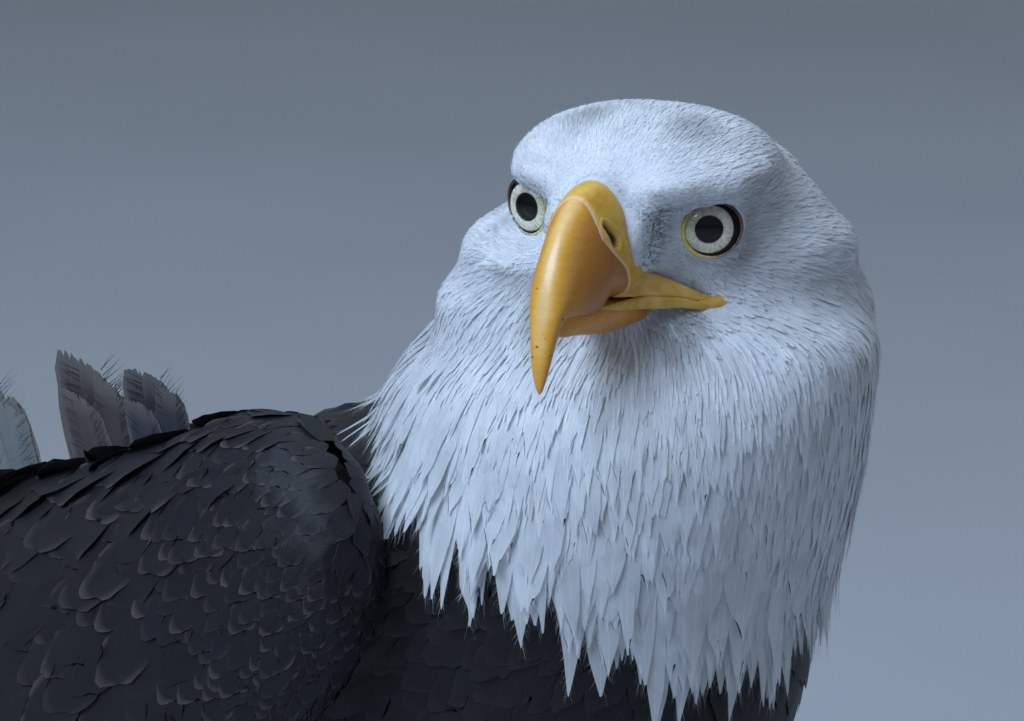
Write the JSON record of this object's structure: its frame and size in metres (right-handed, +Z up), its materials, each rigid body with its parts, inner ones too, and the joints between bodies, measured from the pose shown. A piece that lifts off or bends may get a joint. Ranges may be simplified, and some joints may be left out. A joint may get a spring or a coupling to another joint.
{
  "type": "bald eagle",
  "caption": "Adult bald eagle, life size, standing on both feet with folded wings, its head turned to its right; a still display model that rests on the floor",
  "frame": {"origin": "on the floor, under the middle of the bird's overall box", "axes": "+Z up; the bird's body faces -Y, +Y runs to the tip of the tail, and its left is +X"},
  "size_m": [0.2446, 0.6764, 0.4914],
  "materials": {
    "white_feather": "matt white feathers of the head, neck and tail",
    "brown_feather": "soft blackish brown body feathers with paler edges",
    "flight_feather": "smooth blackish brown flight feathers, slightly glossy",
    "yellow_skin": "satin yellow scaled skin",
    "bill_horn": "glossy deep yellow horn",
    "black_horn": "glossy black horn",
    "eye": "wet gloss, pale cream iris and black pupil"
  },
  "bodies": {
    "root": {"bill_lower": "bill_horn", "bill_upper": "bill_horn", "cere": "yellow_skin", "claw_left_hind": "black_horn", "claw_left_inner": "black_horn", "claw_left_middle": "black_horn", "claw_left_outer": "black_horn", "claw_right_hind": "black_horn", "claw_right_inner": "black_horn", "claw_right_middle": "black_horn", "claw_right_outer": "black_horn", "eye_left": "eye", "eye_right": "eye", "head": "white_feather", "neck": "white_feather", "raised_feather_front": "flight_feather", "raised_feather_middle": "flight_feather", "raised_feather_rear": "flight_feather", "tail": "white_feather", "tarsus_left": "yellow_skin", "tarsus_right": "yellow_skin", "thigh_left": "brown_feather", "thigh_right": "brown_feather", "toe_left_hind": "yellow_skin", "toe_left_inner": "yellow_skin", "toe_left_middle": "yellow_skin", "toe_left_outer": "yellow_skin", "toe_right_hind": "yellow_skin", "toe_right_inner": "yellow_skin", "toe_right_middle": "yellow_skin", "toe_right_outer": "yellow_skin", "trunk": "brown_feather", "wing_left_primaries": "flight_feather", "wing_left_secondaries": "flight_feather", "wing_left_shoulder": "brown_feather", "wing_right_primaries": "flight_feather", "wing_right_secondaries": "flight_feather", "wing_right_shoulder": "brown_feather"}
  },
  "joints": []
}
